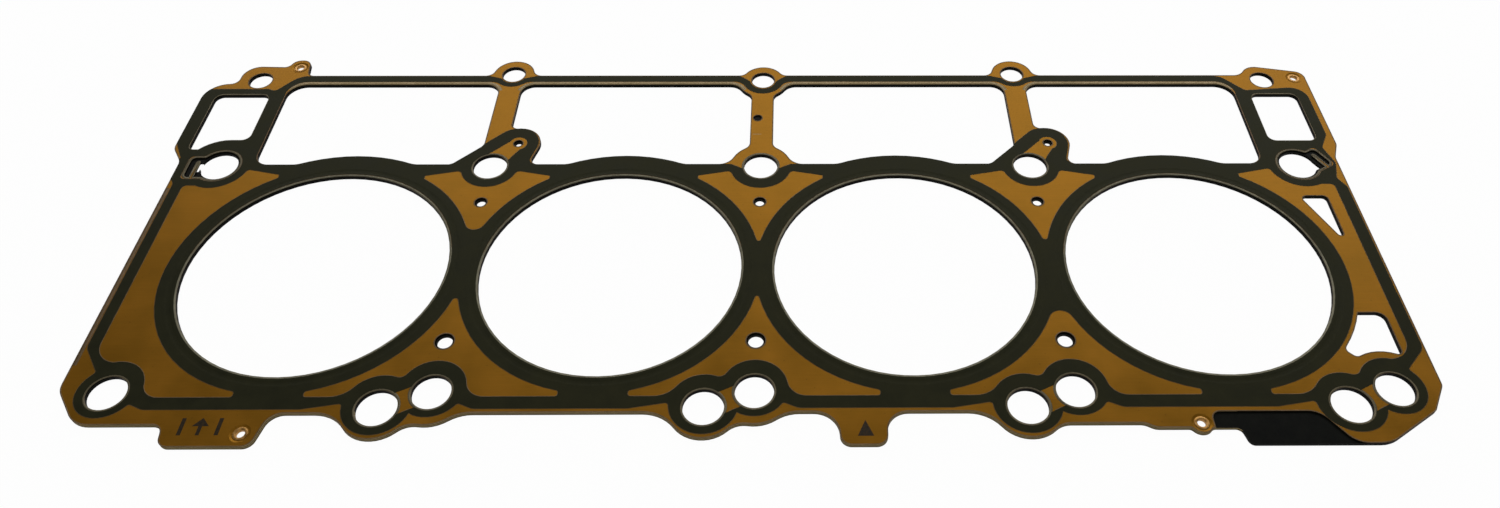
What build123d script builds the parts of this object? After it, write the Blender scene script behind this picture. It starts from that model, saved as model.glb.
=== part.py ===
"""Multi-layer steel cylinder head gasket for one four-cylinder bank of a V8.

Three sheets lie on one another: a beaded lower sheet, a thicker spacer and a beaded
upper sheet that carries a printed elastomer seal. Four tubular rivets hold them.
Origin: middle of the bore line, on the block face. +X along the bank, +Y towards the
valley rail, +Z towards the cylinder head. Millimetres.
"""
from build123d import *
from math import cos, radians, sin, sqrt, tan
import os

# Cylinder bores
bore_diameter = 100.6
bridge_width = 12.7  # sheet between two bores
land_width = 12.0  # bore edge to the curved edge of the valley windows

# Sheets
sheet_thickness = 0.25
spacer_thickness = 0.7
bead_height = 0.25
bead_width = 2.6
bead_inset = 1.5  # bore edge to the bead
print_thickness = 0.05
print_dip = 0.08  # the print levels most of the bead's groove

# Rows above the bores, each measured from the top of the bores
upper_bolt_rise = 5.7
dowel_rise = 6.5
land_edge_rise = 7.0
boss_rise = 19.7
witness_rise = 35.8
left_shoulder_rise = 12.9
right_shoulder_rise = 14.5
right_coolant_rise = 21.1
coolant_top_rise = 51.3
ring_foot_rise = 17.5  # where the middle web meets the ring of its head bolt
ring_head_rise = 50.9  # and the ring of its rail bolt
left_ear_rise = 58.9
rail_bolt_inner_rise = 61.1  # end and middle columns
rail_edge_rise = 64.5
rail_bolt_outer_rise = 65.3  # second and fourth columns

# Rows below the bores, each measured from the foot of the bores
lower_bolt_drop = 6.5
return_hole_drop = 13.0
lower_edge_drop = 15.0
left_edge_drop = 19.5  # lower edge under the left end
right_edge_drop = 20.0  # lower edge past the fourth column
rivet_edge_drop = 21.9  # lower edge at the right front rivet
tab_edge_drop = 28.3

# Holes
head_bolt_diameter = 14.0
return_hole_diameter = 14.6
return_hole_shift = 17.65  # oil return holes, to the left of the lower bolt holes
rail_bolt_diameter = 10.1
dowel_diameter = 16.6
lower_dowel_diameter = 15.2
upper_vent_diameter = 4.9
upper_vent_depth = 15.0  # inward from the top of the bores
lower_vent_diameter = 6.9
lower_vent_depth = 15.6
boss_vent_diameter = 3.8
vent_step = 1.2  # how much narrower the vents are in the lower sheets
witness_shift = 1.9
witness_diameter = 3.6

# Valley rail and its ears
rail_width = 6.3
rail_ear_radius = 9.2
rail_ear_fillet = 4.0

# Valley windows, the webs between them and the bosses on the webs
web_width = 9.9
window_corner = 6.0
window_end_corner = 8.0
land_fillet = 12.0
window_left_gap = 14.2  # end bolt column to the side of the first window
window_right_gap = 14.8
boss_shift = 9.5  # vent lobe from its bolt column
boss_radius = 9.4
boss_heel = 15.0  # lean of the boss's right flank, degrees
boss_slope = 45.0  # its left flank, degrees
boss_root = 1.0  # how far the boss reaches into the land below it
middle_ring_top = 11.3  # sheet round the middle rail bolt
middle_ring_bottom = 12.8  # sheet round the middle head bolt

# Outline
end_margin = 17.2  # end bolt column to the straight end edges
left_shoulder = 5.4  # how far the coolant window ears stand out past the end edges
right_shoulder = 3.1
shoulder_half = 4.0
shoulder_round = 6.0
left_ear_corner = 9.8
right_ear_reach = 2.0  # right ear's outer corner above the rail edge
ear_peak = 6.6  # highest point of the right ear above the rail edge
rivet_ear_radius = 4.1
rivet_step = 16.2  # right front rivet to the small step in the edge on its left
bolt_lobe_radius = 13.5
return_lobe_radius = 12.5
lobe_fillet = 14.0
lobe_valley = 8.0
mark_tab_left = 31.2  # first bore centre to the left side of the wide tab
mark_tab_width = 31.3
side_tab_gap = 26.8  # third bore centre to the left side of the narrow tab
side_tab_width = 16.2
tab_corner = 4.0
layer_tab_gap = 1.2  # fourth bore centre to the left side of the stepped layer tab
layer_edge_gap = 0.4  # upper sheet's cut edge below the lower edge
layer_foot_gap = 21.0  # right bolt column to the foot of that edge
layer_edge_run = 9.1  # how far the cut edge slopes along X
end_chamfer_left = (10.9, 9.8)  # run along X, start above the lower edge
end_chamfer_right = 6.3

# Coolant windows
coolant_corner = 3.5
left_coolant_outer = 16.5  # end bolt column to the window's outer side
left_coolant_inner = 7.4
left_coolant_radius = 15.6  # its lower side, round the dowel opening
left_coolant_step = 5.8
right_coolant_outer = 12.8
right_coolant_inner = 8.0
slant_window_depth = 12.1  # inward from the top of the bores
slant_window_height = 26.5
slant_window_width = 11.3
slant_window_side = 6.1  # last bolt column to its upright side
foot_window_depth = 27.8  # inward from the foot of the bores
foot_window_side = 8.1
foot_window_height = 21.5
foot_window_width = 20.7
foot_window_cut = 4.7
foot_window_bore_gap = 9.0  # bore edge to its curved side
foot_window_bolt_radius = 16.5

# Dowel openings: a slot beside the hole, with a spring finger that grips the dowel
# Reaches are from the hole's centre, away from the bores; heights are along the slot
slot_turns = {-1: 0.0, 1: 30.0}  # degrees, left and right
slot_start = 3.0
slot_reach = 12.6
slot_foot = -6.8
slot_heads = {-1: 4.6, 1: 3.2}
slot_corner = 2.0
slot_round = 1.5  # where the slot runs into the hole
finger_width = 1.9
finger_root = 0.5
finger_reaches = {-1: 9.2, 1: 9.7}
finger_tips = {-1: 2.8, 1: 1.4}
notch_starts = {-1: 7.4, 1: 3.0}  # shallow notches beside the hole of the lower sheets
notch_reaches = {-1: 9.2, 1: 7.4}
notch_feet = {-1: -3.3, 1: -6.2}
notch_heads = {-1: 2.4, 1: 0.4}
notch_corner = 0.5

# Rivets
rivet_hole_diameter = 3.9
rivet_bore = 3.0
rivet_flange = 5.2
rivet_clearance = 0.05
rivet_lip = 0.2
rivet_seat = 2.9  # radius of the pressed flat that the flange lies in
rivet_seat_edge = 3.6
front_left_rivet = (4.6, 23.0)  # left of the first bore centre, below the bores
front_right_rivet = (15.4, 20.0)  # left of the fourth bore centre, below the bores
rear_left_rivet = (15.1, 70.2)  # right of the left column, above the bores
rear_right_rivet = (15.1, 62.6)  # right of the right column, above the bores

# Printed seal
print_margin = 0.7  # bare rim between the print and a hole's edge
bore_margin = 0.85  # the same round the bores, where the print lies off centre
bore_print_shift = 0.4  # towards the valley rail
dowel_margin = 1.1  # and round the dowel openings
window_rim = 0.3  # the same round the coolant windows
window_head = 0.8  # and above them
neck_rise = 2.4  # bare wedges that run up between the lower band and the bolt rings
bolt_neck_run = 5.5
return_neck_run = 14.0
neck_tip = 1.2
neck_foot = 5.0
bore_print_width = 7.3
band_width = 4.95
band_inset = 1.6  # print to the lower edge
end_band_left = 10.9  # end bolt column to the inner side of the upright band
end_band_right = 11.5
end_band_left_width = 4.2
end_band_right_width = 4.8
bolt_print_radius = 11.8
bolt_print_lift = 1.6
return_print_radius = 12.2
return_print_lift = 1.4
upper_bolt_print_radius = 11.8
middle_bolt_print_radius = 12.6
dowel_print_radius = 13.0
upper_tip_inset = 30.65  # bore centre to the tips of the bare patches above it
upper_tip_width = 1.8
upper_bare_slope = 3.5
upper_tip_drop = 10.0  # hidden foot of a patch's sides, under the bore's ring
upper_patch_half = 9.0  # half the width of a patch's top
lower_tip_inset = 12.2  # bore centre to the tips of the bare patches below it
lower_patch_rise = 8.2  # hidden head of a patch's sides, above the lower band
lower_bare_tips = (1.2, 0.9, 4.6)
upper_bare_tips = (4.0, 1.0, 1.2)
bare_tip = 0.7
lower_tip_round = 1.1
corner_patch_round = 9.0  # end patches, above the corner bolts
patch_foot_round = 7.0  # lower patches, where the band leaves a bolt ring
return_foot_round = 10.0  # the same at an oil return's ring
ring_notch_rise = 10.4  # where the rings of a pair of lower holes cross
ring_notch_round = 3.0
shoulder_patch_round = 2.0  # upper patches, beside the upper bolts
end_patch_foot = 0.4  # end patches: foot below the top of the corner bolt's ring
end_patch_head = 1.4  # head above the foot of the dowel's ring
end_patch_head_round = 2.0
end_patch_lift = 0.6  # inner part above the other upper patches
end_patch_shoulder = 1.5
end_tip_step = 1.0  # its tip nearer to the bore's middle than theirs
end_tip_width = 2.6
end_patch_lap = 2.0  # how far it runs under the corner bolt's ring
boss_patch_foot = ((-2.5, 7.0), (6.3, 3.0))  # link from a head bolt to its vent, from the bolt
boss_patch_head = ((6.3, 1.9), (13.0, -0.3))  # along X from the bolt, along Y from the vent
boss_patch_corner = 3.0
boss_vent_ring = 3.9
pair_patch = ((-14.5, -1.2), (-6.5, 2.7), (-3.2, -5.6), (-10.5, -9.3))  # from a lower bolt
neck_root = 4.0  # how far the bare wedges run under the rings
middle_patch_half = 14.0  # bare fan of the middle web, above the head bolt
middle_patch_lift = 0.6  # its foot above the edge of the land
middle_patch_corner = 3.0
middle_patch_neck = (6.5, 1.8)  # where it meets the head bolt, below the bolt's centre
boss_rim = 0.7  # bare rim down the right flank of each boss
boss_foot_round = 3.0
window_margin = 0.4  # print to the end sides of the valley windows
rail_print_radius = 8.3
middle_rail_print_radius = 8.9
rail_ring_round = 6.0
rail_dips = (3.1, 2.2, 3.1)  # print below the centres of the rail bolts
rail_dip_top = 10.5
rail_dip_foot = 4.0
rail_band_width = 3.9
rail_band_inset = 0.3
corner_bolt_print_radius = 10.8
corner_bolt_print_lift = 0.6
corner_print_run = (5.0, 5.8)  # print's lower corners, from the corner bolts
end_line_foot = {-1: 6.4, 1: 4.4}  # foot of the end bands above the bolts' rings
end_line_foot_round = 6.0
end_notch = (7.3, 8.6)  # where an end band meets its corner bolt's ring, from the bolt
end_notch_round = 1.2
# Outer line of the print past the dowels: beyond the end band or edge, above the dowel, round
right_print_line = ((2.0, -8.3, 3), (4.6, 0.7, 4), (1.8, 10.2, 3), (6.1, 18.2, 4))
right_print_foot = (-13.3, 3)
left_print_line = ((-0.6, 5.2, 0), (-0.6, -7.3, 0))
left_print_foot = (-10.3, 3)
left_print_head = 15.7
# Top of the print over the coolant windows: from the end column, above the window, round
right_print_top = ((-9.6, 2.6, 3),)
left_print_top = ((8.6, 2.3, 2.5), (5.6, 4.0, 1.5))
right_print_head = (5.0, 7)
rail_print_ends = {-1: 17.0, 1: 19.0}  # rail's print to the end columns
rail_print_end_round = 9.0

# Values worked out from the sizes above
bore_radius = bore_diameter / 2
bore_pitch = bore_diameter + bridge_width
half_pitch = bore_pitch / 2
columns = [bore_pitch * k for k in (-2, -1, 0, 1, 2)]
bores = [bore_pitch * k for k in (-1.5, -0.5, 0.5, 1.5)]
left_column, boss_left, middle, boss_right, right_column = columns
lobes = [boss_left, middle, boss_right]
bosses = [boss_left, boss_right]
left_end = left_column - end_margin
right_end = right_column + end_margin
land_radius = bore_radius + land_width

upper_bolt_y = bore_radius + upper_bolt_rise
dowel_y = bore_radius + dowel_rise
land_edge_y = bore_radius + land_edge_rise
boss_y = bore_radius + boss_rise
witness_y = bore_radius + witness_rise
left_shoulder_y = bore_radius + left_shoulder_rise
right_shoulder_y = bore_radius + right_shoulder_rise
right_coolant_y = bore_radius + right_coolant_rise
coolant_top_y = bore_radius + coolant_top_rise
left_ear_y = bore_radius + left_ear_rise
rail_edge_y = bore_radius + rail_edge_rise
lower_bolt_y = -bore_radius - lower_bolt_drop
return_hole_y = -bore_radius - return_hole_drop
lower_edge_y = -bore_radius - lower_edge_drop
left_edge_y = -bore_radius - left_edge_drop
right_edge_y = -bore_radius - right_edge_drop
rivet_edge_y = -bore_radius - rivet_edge_drop
tab_edge_y = -bore_radius - tab_edge_drop
upper_vent_y = bore_radius - upper_vent_depth
lower_vent_y = lower_vent_depth - bore_radius

window_top_y = rail_edge_y - rail_width
window_left = left_column + window_left_gap
window_right = right_column - window_right_gap
rivets = {
    "front_left": (bores[0] - front_left_rivet[0], -bore_radius - front_left_rivet[1]),
    "front_right": (bores[3] - front_right_rivet[0], -bore_radius - front_right_rivet[1]),
    "rear_left": (left_column + rear_left_rivet[0], bore_radius + rear_left_rivet[1]),
    "rear_right": (right_column + rear_right_rivet[0], bore_radius + rear_right_rivet[1]),
}
rail_bolts = {x: bore_radius + rail_bolt_inner_rise for x in columns}
rail_bolts.update({x: bore_radius + rail_bolt_outer_rise for x in bosses})

# Heights of the stack
spacer_z = sheet_thickness + bead_height
top_sheet_z = spacer_z + spacer_thickness + bead_height
print_z = top_sheet_z + sheet_thickness


def path_face(corners, mode=Mode.ADD):
    """Fill a closed path whose corners are given as (x, y, fillet radius)."""
    with BuildLine() as path:
        FilletPolyline(
            *[(x, y) for x, y, radius in corners],
            radius=[radius for x, y, radius in corners],
            close=True,
        )
    make_face(path.edges(), mode=mode)


def discs(centres, radius, mode=Mode.ADD):
    """Add or take away discs of one radius."""
    with Locations(*centres):
        Circle(radius, mode=mode)


def round_corners(sketch, points, radius):
    """Fillet the sketch's vertices nearest to the given points."""
    found = [sketch.vertices().sort_by_distance(Vector(x, y))[0] for x, y in points]
    fillet(found, radius=radius)


def across(radius, rise):
    """Half the chord of a circle at a given height above its centre."""
    return sqrt(radius**2 - rise**2)


def valley_between(left, left_radius, right, right_radius):
    """The lower point where two circles cross."""
    line = Vector(*right) - Vector(*left)
    along = (line.length**2 + left_radius**2 - right_radius**2) / (2 * line.length)
    unit = line.normalized()
    drop = across(left_radius, along)
    return left[0] + unit.X * along + unit.Y * drop, left[1] + unit.Y * along - unit.X * drop


# Outline shared by all the sheets
mark_left = bores[0] - mark_tab_left
mark_right = mark_left + mark_tab_width
side_left = bores[2] - side_tab_gap
side_right = side_left + side_tab_width
layer_left = bores[3] - layer_tab_gap
rivet_x, rivet_y = rivets["front_right"]
ear_x, ear_y = rivets["rear_left"]
layer_foot_x = right_column - layer_foot_gap
ear_top_y = rail_edge_y + ear_peak

with BuildSketch() as outline:
    path_face([
        (left_end, lower_edge_y + end_chamfer_left[1], 8),
        (left_end + end_chamfer_left[0], left_edge_y, 10),
        (mark_left - 1.2, left_edge_y, tab_corner),
        (mark_left, tab_edge_y, tab_corner),
        (mark_right, tab_edge_y, tab_corner),
        (mark_right + 3, lower_edge_y, 6),
        (side_left - 0.6, lower_edge_y, 9),
        (side_left, tab_edge_y, tab_corner),
        (side_right, tab_edge_y, tab_corner),
        (side_right + 0.3, lower_edge_y, 7.5),
        (boss_right - return_hole_shift, lower_edge_y, 0),
        (boss_right - return_hole_shift, right_edge_y, 0),
        (rivet_x - rivet_step - 3.3, right_edge_y, 6),
        (rivet_x - rivet_step, rivet_edge_y, 6),
        (layer_left - 0.8, rivet_edge_y, 2.5),
        (layer_left + 0.9, tab_edge_y, 2.5),
        (right_column - 9.1, tab_edge_y, 12),
        (right_end - end_chamfer_right, lower_edge_y - 0.5, 3),
        (right_end, lower_edge_y + 10, 4),
        (right_end, right_shoulder_y - shoulder_half, shoulder_round),
        (right_end + right_shoulder, right_shoulder_y + shoulder_half, shoulder_round),
        (right_end + right_shoulder, rail_edge_y + right_ear_reach, 4.5),
        (right_column - 4.1, ear_top_y, 7),
        (right_column - 9.1, rail_edge_y, 6),
        (ear_x + 5.2, rail_edge_y, 3),
        (ear_x + 3.7, ear_y + 5.2, 4),
        (ear_x - 3.3, ear_y + 5.2, 4),
        (ear_x - 5.5, ear_y + 0.4, 3),
        (left_column - 9.6, ear_y + 1.0, 7.5),
        (left_column - 9.6, left_ear_y, 3.5),
        (left_end - left_shoulder, left_ear_y, left_ear_corner),
        (left_end - left_shoulder, left_shoulder_y + shoulder_half, shoulder_round),
        (left_end, left_shoulder_y - shoulder_half, shoulder_round),
    ])
    discs([(x - return_hole_shift, return_hole_y) for x in lobes], return_lobe_radius)
    discs([(x, lower_bolt_y) for x in lobes], bolt_lobe_radius)
    discs([(x, rail_bolts[x]) for x in lobes], rail_ear_radius)
    discs([(rivet_x, rivet_y)], rivet_ear_radius)
    return_side = return_hole_shift + across(return_lobe_radius, return_hole_y - lower_edge_y)
    bolt_side = across(bolt_lobe_radius, lower_bolt_y - lower_edge_y)
    valleys = [
        valley_between((x - return_hole_shift, return_hole_y), return_lobe_radius,
                       (x, lower_bolt_y), bolt_lobe_radius)
        for x in lobes
    ]
    round_corners(outline, [(x - return_side, lower_edge_y) for x in lobes], lobe_fillet)
    round_corners(outline, [(x + bolt_side, lower_edge_y) for x in lobes[:2]], lobe_fillet)
    round_corners(outline, valleys, lobe_valley)
    for side in (-1, 1):
        ear_sides = [(x + side * rail_ear_radius, rail_edge_y) for x in lobes]
        round_corners(outline, ear_sides, rail_ear_fillet)
        round_corners(outline, [(rivet_x + side * 3.6, rivet_edge_y)], 2)

# The upper sheet stops short of the layer tab
with BuildSketch() as tab_cut:
    path_face([
        (rivet_x + 4.4, tab_edge_y - tab_corner, 0),
        (rivet_x + 4.4, lower_edge_y - layer_edge_gap, 3),
        (layer_foot_x - layer_edge_run, lower_edge_y - layer_edge_gap, 7.7),
        (layer_foot_x, tab_edge_y, 8.5),
        (layer_foot_x + 8.5, tab_edge_y, 0),
        (layer_foot_x + 8.5, tab_edge_y - tab_corner, 0),
    ])

# Valley windows: a slot between rail and lands, less the webs, lands and bosses
heel_x = boss_shift + boss_radius * cos(radians(boss_heel))
heel_y = boss_y - boss_radius * sin(radians(boss_heel))
foot_x = heel_x - (heel_y - land_edge_y) * tan(radians(boss_heel))
flank = boss_radius * sin(radians(boss_slope))
toe_x = boss_shift - flank - (boss_y + flank - land_edge_y)


def boss_shapes(mode, shift=0.0):
    """Add or take away the vent bosses that stand on the outer webs."""
    for x in [boss + shift for boss in bosses]:
        path_face([
            (x + toe_x, land_edge_y - boss_root, 0),
            (x + toe_x, land_edge_y, 0),
            (x + boss_shift - flank, boss_y + flank, 0),
            (x + boss_shift, boss_y, 0),
            (x + heel_x, heel_y, 0),
            (x + foot_x, land_edge_y, 0),
            (x + foot_x, land_edge_y - boss_root, 0),
        ], mode)
    discs([(x + boss_shift + shift, boss_y) for x in bosses], boss_radius, mode)


with BuildSketch() as valley_windows:
    path_face([
        (window_left, land_edge_y, window_corner),
        (window_right, land_edge_y, window_corner),
        (window_right, window_top_y, window_end_corner),
        (window_left, window_top_y, window_end_corner),
    ])
    with Locations(*[(x, window_top_y) for x in lobes]):
        Rectangle(web_width, 2 * rail_edge_y, mode=Mode.SUBTRACT)
    discs([(x, 0) for x in bores], land_radius, Mode.SUBTRACT)
    boss_shapes(Mode.SUBTRACT)
    discs([(middle, upper_bolt_y)], middle_ring_bottom, Mode.SUBTRACT)
    discs([(middle, rail_bolts[middle])], middle_ring_top, Mode.SUBTRACT)
    for side in (-1, 1):
        land_ends = [(x + side * across(land_radius, land_edge_y), land_edge_y) for x in bores]
        round_corners(valley_windows, land_ends, land_fillet)
        web_tops = [(x + side * web_width / 2, window_top_y) for x in bosses]
        round_corners(valley_windows, web_tops, window_corner)
        round_corners(valley_windows, [(middle + side * middle_ring_top, window_top_y)], window_corner)
        ring_feet = [
            (middle + side * web_width / 2, bore_radius + rise)
            for rise in (ring_head_rise, ring_foot_rise)
        ]
        round_corners(valley_windows, ring_feet, 4)
        round_corners(valley_windows, [(middle + side * middle_ring_bottom, land_edge_y)], 7)
    round_corners(valley_windows, [(x + toe_x, land_edge_y) for x in bosses], 4)
    web_left_y = land_edge_y - toe_x - web_width / 2
    web_right_y = boss_y + across(boss_radius, boss_shift - web_width / 2)
    round_corners(valley_windows, [(x - web_width / 2, web_left_y) for x in bosses], 4)
    round_corners(valley_windows, [(x + web_width / 2, web_right_y) for x in bosses], 3)
    round_corners(valley_windows, [(x + foot_x, land_edge_y) for x in bosses], 3)

# Coolant windows at the two ends
left_outer = left_column - left_coolant_outer
left_inner = left_column + left_coolant_inner
right_outer = right_column + right_coolant_outer
right_inner = right_column - right_coolant_inner
slant_right = right_column + slant_window_side
slant_top = bore_radius - slant_window_depth
foot_right = right_column + foot_window_side
foot_left = foot_right - foot_window_width
foot_top = foot_window_depth - bore_radius
foot_bottom = foot_top - foot_window_height
seat_y = dowel_y + left_coolant_radius

with BuildSketch() as coolant_windows:
    path_face([
        (left_outer, seat_y - left_coolant_step, 2.5),
        (left_column, seat_y - left_coolant_step, 0),
        (left_column, seat_y, 0),
        (left_inner, seat_y, coolant_corner),
        (left_inner, coolant_top_y, coolant_corner),
        (left_outer, coolant_top_y, coolant_corner),
    ])
    discs([(left_column, dowel_y)], left_coolant_radius, Mode.SUBTRACT)
    path_face([
        (right_inner, right_coolant_y, coolant_corner),
        (right_outer, right_coolant_y, coolant_corner),
        (right_outer, coolant_top_y, coolant_corner),
        (right_inner, coolant_top_y, coolant_corner),
    ])

with BuildSketch() as end_windows:
    path_face([
        (slant_right, slant_top - slant_window_height, 1.2),
        (slant_right, slant_top, 2),
        (slant_right - slant_window_width, slant_top, 2),
    ])
    path_face([
        (foot_left + foot_window_cut, foot_bottom, 0),
        (foot_right, foot_bottom, 0),
        (foot_right, foot_top, 3.5),
        (foot_left, foot_top, 0),
        (foot_left, foot_bottom + foot_window_cut, 0),
    ])
    discs([(bores[3], 0)], bore_radius + foot_window_bore_gap, Mode.SUBTRACT)
    discs([(right_column, lower_bolt_y)], foot_window_bolt_radius, Mode.SUBTRACT)
    toes = [(foot_left + foot_window_cut, foot_bottom), (foot_left, foot_bottom + foot_window_cut)]
    round_corners(end_windows, toes, 2)
    round_corners(end_windows, [(foot_right, foot_bottom)], 1.5)


def dowel_opening(side, grow=0.0, mode=Mode.SUBTRACT):
    """Cut the upper sheet's dowel hole with its slot, on the side away from the bores."""
    reach = slot_reach + grow
    foot = slot_foot - grow
    head = slot_heads[side] + grow
    with Locations(Location((side * right_column, dowel_y, 0), (0, 0, slot_turns[side]))):
        Circle(dowel_diameter / 2 + grow, mode=mode)
        with Locations((side * (reach + slot_start) / 2, (foot + head) / 2)):
            RectangleRounded(reach - slot_start, head - foot, slot_corner, mode=mode)


def slot_shoulder(side, grow=0.0):
    """Where the head of the slot meets the dowel hole."""
    head = slot_heads[side] + grow
    reach = side * across(dowel_diameter / 2 + grow, head)
    turn = radians(slot_turns[side])
    return (
        side * right_column + reach * cos(turn) - head * sin(turn),
        dowel_y + reach * sin(turn) + head * cos(turn),
    )


def dowel_notch(side):
    """Cut the lower sheets' dowel hole and the shallow notch beside it."""
    start = notch_starts[side]
    reach = notch_reaches[side]
    foot = notch_feet[side]
    head = notch_heads[side]
    with Locations(Location((side * right_column, dowel_y, 0), (0, 0, slot_turns[side]))):
        Circle(lower_dowel_diameter / 2, mode=Mode.SUBTRACT)
        with Locations((side * (reach + start) / 2, (foot + head) / 2)):
            RectangleRounded(reach - start, head - foot, notch_corner, mode=Mode.SUBTRACT)


def spring_finger(side):
    """Leave the finger that stands in the slot and presses on the dowel."""
    shaft_top = finger_tips[side] - finger_width / 2
    shaft_foot = slot_foot - finger_root
    with Locations(Location((side * right_column, dowel_y, 0), (0, 0, slot_turns[side]))):
        with Locations((side * finger_reaches[side], (shaft_foot + shaft_top) / 2)):
            Rectangle(finger_width, shaft_top - shaft_foot)
        with Locations((side * finger_reaches[side], shaft_top)):
            Circle(finger_width / 2)


def fixing_holes(grow=0.0):
    """Cut the bores and the bolt, return, rail and rivet holes."""
    discs([(x, 0) for x in bores], bore_radius + grow, Mode.SUBTRACT)
    head_bolts = [(x, upper_bolt_y) for x in lobes] + [(x, lower_bolt_y) for x in columns]
    discs(head_bolts, head_bolt_diameter / 2 + grow, Mode.SUBTRACT)
    returns = [(x - return_hole_shift, return_hole_y) for x in columns[1:]]
    discs(returns, return_hole_diameter / 2 + grow, Mode.SUBTRACT)
    discs(rail_bolts.items(), rail_bolt_diameter / 2 + grow, Mode.SUBTRACT)
    discs(rivets.values(), rivet_hole_diameter / 2 + grow, Mode.SUBTRACT)


def vents(narrowing=0.0):
    """Cut the three rows of vents."""
    for y, diameter in ((lower_vent_y, lower_vent_diameter), (upper_vent_y, upper_vent_diameter)):
        discs([(x, y) for x in lobes], (diameter - narrowing) / 2, Mode.SUBTRACT)
    boss_vents = [(x + boss_shift, boss_y) for x in bosses]
    discs(boss_vents, (boss_vent_diameter - narrowing) / 2, Mode.SUBTRACT)


def flat_sheet():
    """Fill the outline, less its windows and round holes."""
    add(outline.sketch)
    for windows in (valley_windows, coolant_windows, end_windows):
        add(windows.sketch, mode=Mode.SUBTRACT)
    fixing_holes()


def clear_pressings():
    """Leave out the rings of the beads and the rivet seats, which are pressed out of flat."""
    add(bead_tracks.sketch, mode=Mode.SUBTRACT)
    discs(rivets.values(), rivet_seat_edge, Mode.SUBTRACT)


def turn_section(x, y, z, section):
    """Revolve a closed section, given as (radius, height) points, about an upright axis."""
    with BuildSketch(Plane((x, y, z), x_dir=(1, 0, 0), z_dir=(0, -1, 0))) as half:
        path_face(section)
    revolve(half.sketch, axis=Axis((x, y, 0), (0, 0, 1)))


def bead_rings(flat_z, thickness, foot_crest, face_crest):
    """Press a bead round each bore; the crests are how far its two faces leave the flat."""
    ramp = bead_width / 3
    for x in bores:
        turn_section(x, 0, flat_z, [
            (bead_inner, 0, 0),
            (bead_inner + ramp, foot_crest, 0),
            (bead_outer - ramp, foot_crest, 0),
            (bead_outer, 0, 0),
            (bead_outer, thickness, 0),
            (bead_outer - ramp, thickness + face_crest, 0),
            (bead_inner + ramp, thickness + face_crest, 0),
            (bead_inner, thickness, 0),
        ])


def rivet_seats(flat_z, crest, thickness):
    """Press the sheet against the spacer round each rivet, so that the flange lies flush."""
    for x, y in rivets.values():
        turn_section(x, y, flat_z, [
            (rivet_hole_diameter / 2, crest, 0),
            (rivet_seat, crest, 0),
            (rivet_seat_edge, 0, 0),
            (rivet_seat_edge, thickness, 0),
            (rivet_seat, crest + thickness, 0),
            (rivet_hole_diameter / 2, crest + thickness, 0),
        ])


def rivet(x, y):
    """Turn one tubular rivet: a thin tube with a rolled flange at each end."""
    inner = rivet_bore / 2
    outer = rivet_hole_diameter / 2 - rivet_clearance
    flange = rivet_flange / 2
    roll = rivet_lip / 2
    foot_z = bead_height
    head_z = print_z - bead_height
    turn_section(x, y, 0, [
        (inner, foot_z - rivet_lip, roll),
        (flange, foot_z - rivet_lip, roll),
        (flange, foot_z, 0),
        (outer, foot_z, 0),
        (outer, head_z, 0),
        (flange, head_z, 0),
        (flange, head_z + rivet_lip, roll),
        (inner, head_z + rivet_lip, roll),
    ])


bead_inner = bore_radius + bead_inset
bead_outer = bead_inner + bead_width

with BuildSketch() as bead_tracks:
    discs([(x, 0) for x in bores], bead_outer)
    discs([(x, 0) for x in bores], bead_inner, Mode.SUBTRACT)

# Lower sheet, on the block: its beads rise to the spacer
with BuildPart() as bottom_layer:
    with BuildSketch(Plane.XY):
        flat_sheet()
        clear_pressings()
        vents(vent_step)
        for side in (-1, 1):
            dowel_notch(side)
    extrude(amount=sheet_thickness)
    bead_rings(0, sheet_thickness, bead_height, bead_height)
    rivet_seats(0, bead_height, sheet_thickness)

# Spacer: flat, between the crests of the two beaded sheets
with BuildPart() as spacer_layer:
    with BuildSketch(Plane.XY.offset(spacer_z)):
        flat_sheet()
        vents(vent_step)
        for side in (-1, 1):
            dowel_notch(side)
    extrude(amount=spacer_thickness)

# Upper sheet, under the head: its beads dip to the spacer, and it has the dowel fingers
with BuildPart() as top_layer:
    with BuildSketch(Plane.XY.offset(top_sheet_z)) as upper_face:
        flat_sheet()
        clear_pressings()
        add(tab_cut.sketch, mode=Mode.SUBTRACT)
        vents()
        discs([(middle - witness_shift, witness_y)], witness_diameter / 2, Mode.SUBTRACT)
        for side in (-1, 1):
            dowel_opening(side)
            spring_finger(side)
            round_corners(upper_face, [slot_shoulder(side)], slot_round)
    extrude(amount=sheet_thickness)
    bead_rings(top_sheet_z, sheet_thickness, -bead_height, -bead_height)
    rivet_seats(top_sheet_z, -bead_height, sheet_thickness)

with BuildPart() as eyelet_front_left:
    rivet(*rivets["front_left"])

with BuildPart() as eyelet_front_right:
    rivet(*rivets["front_right"])

with BuildPart() as eyelet_rear_left:
    rivet(*rivets["rear_left"])

with BuildPart() as eyelet_rear_right:
    rivet(*rivets["rear_right"])

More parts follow.
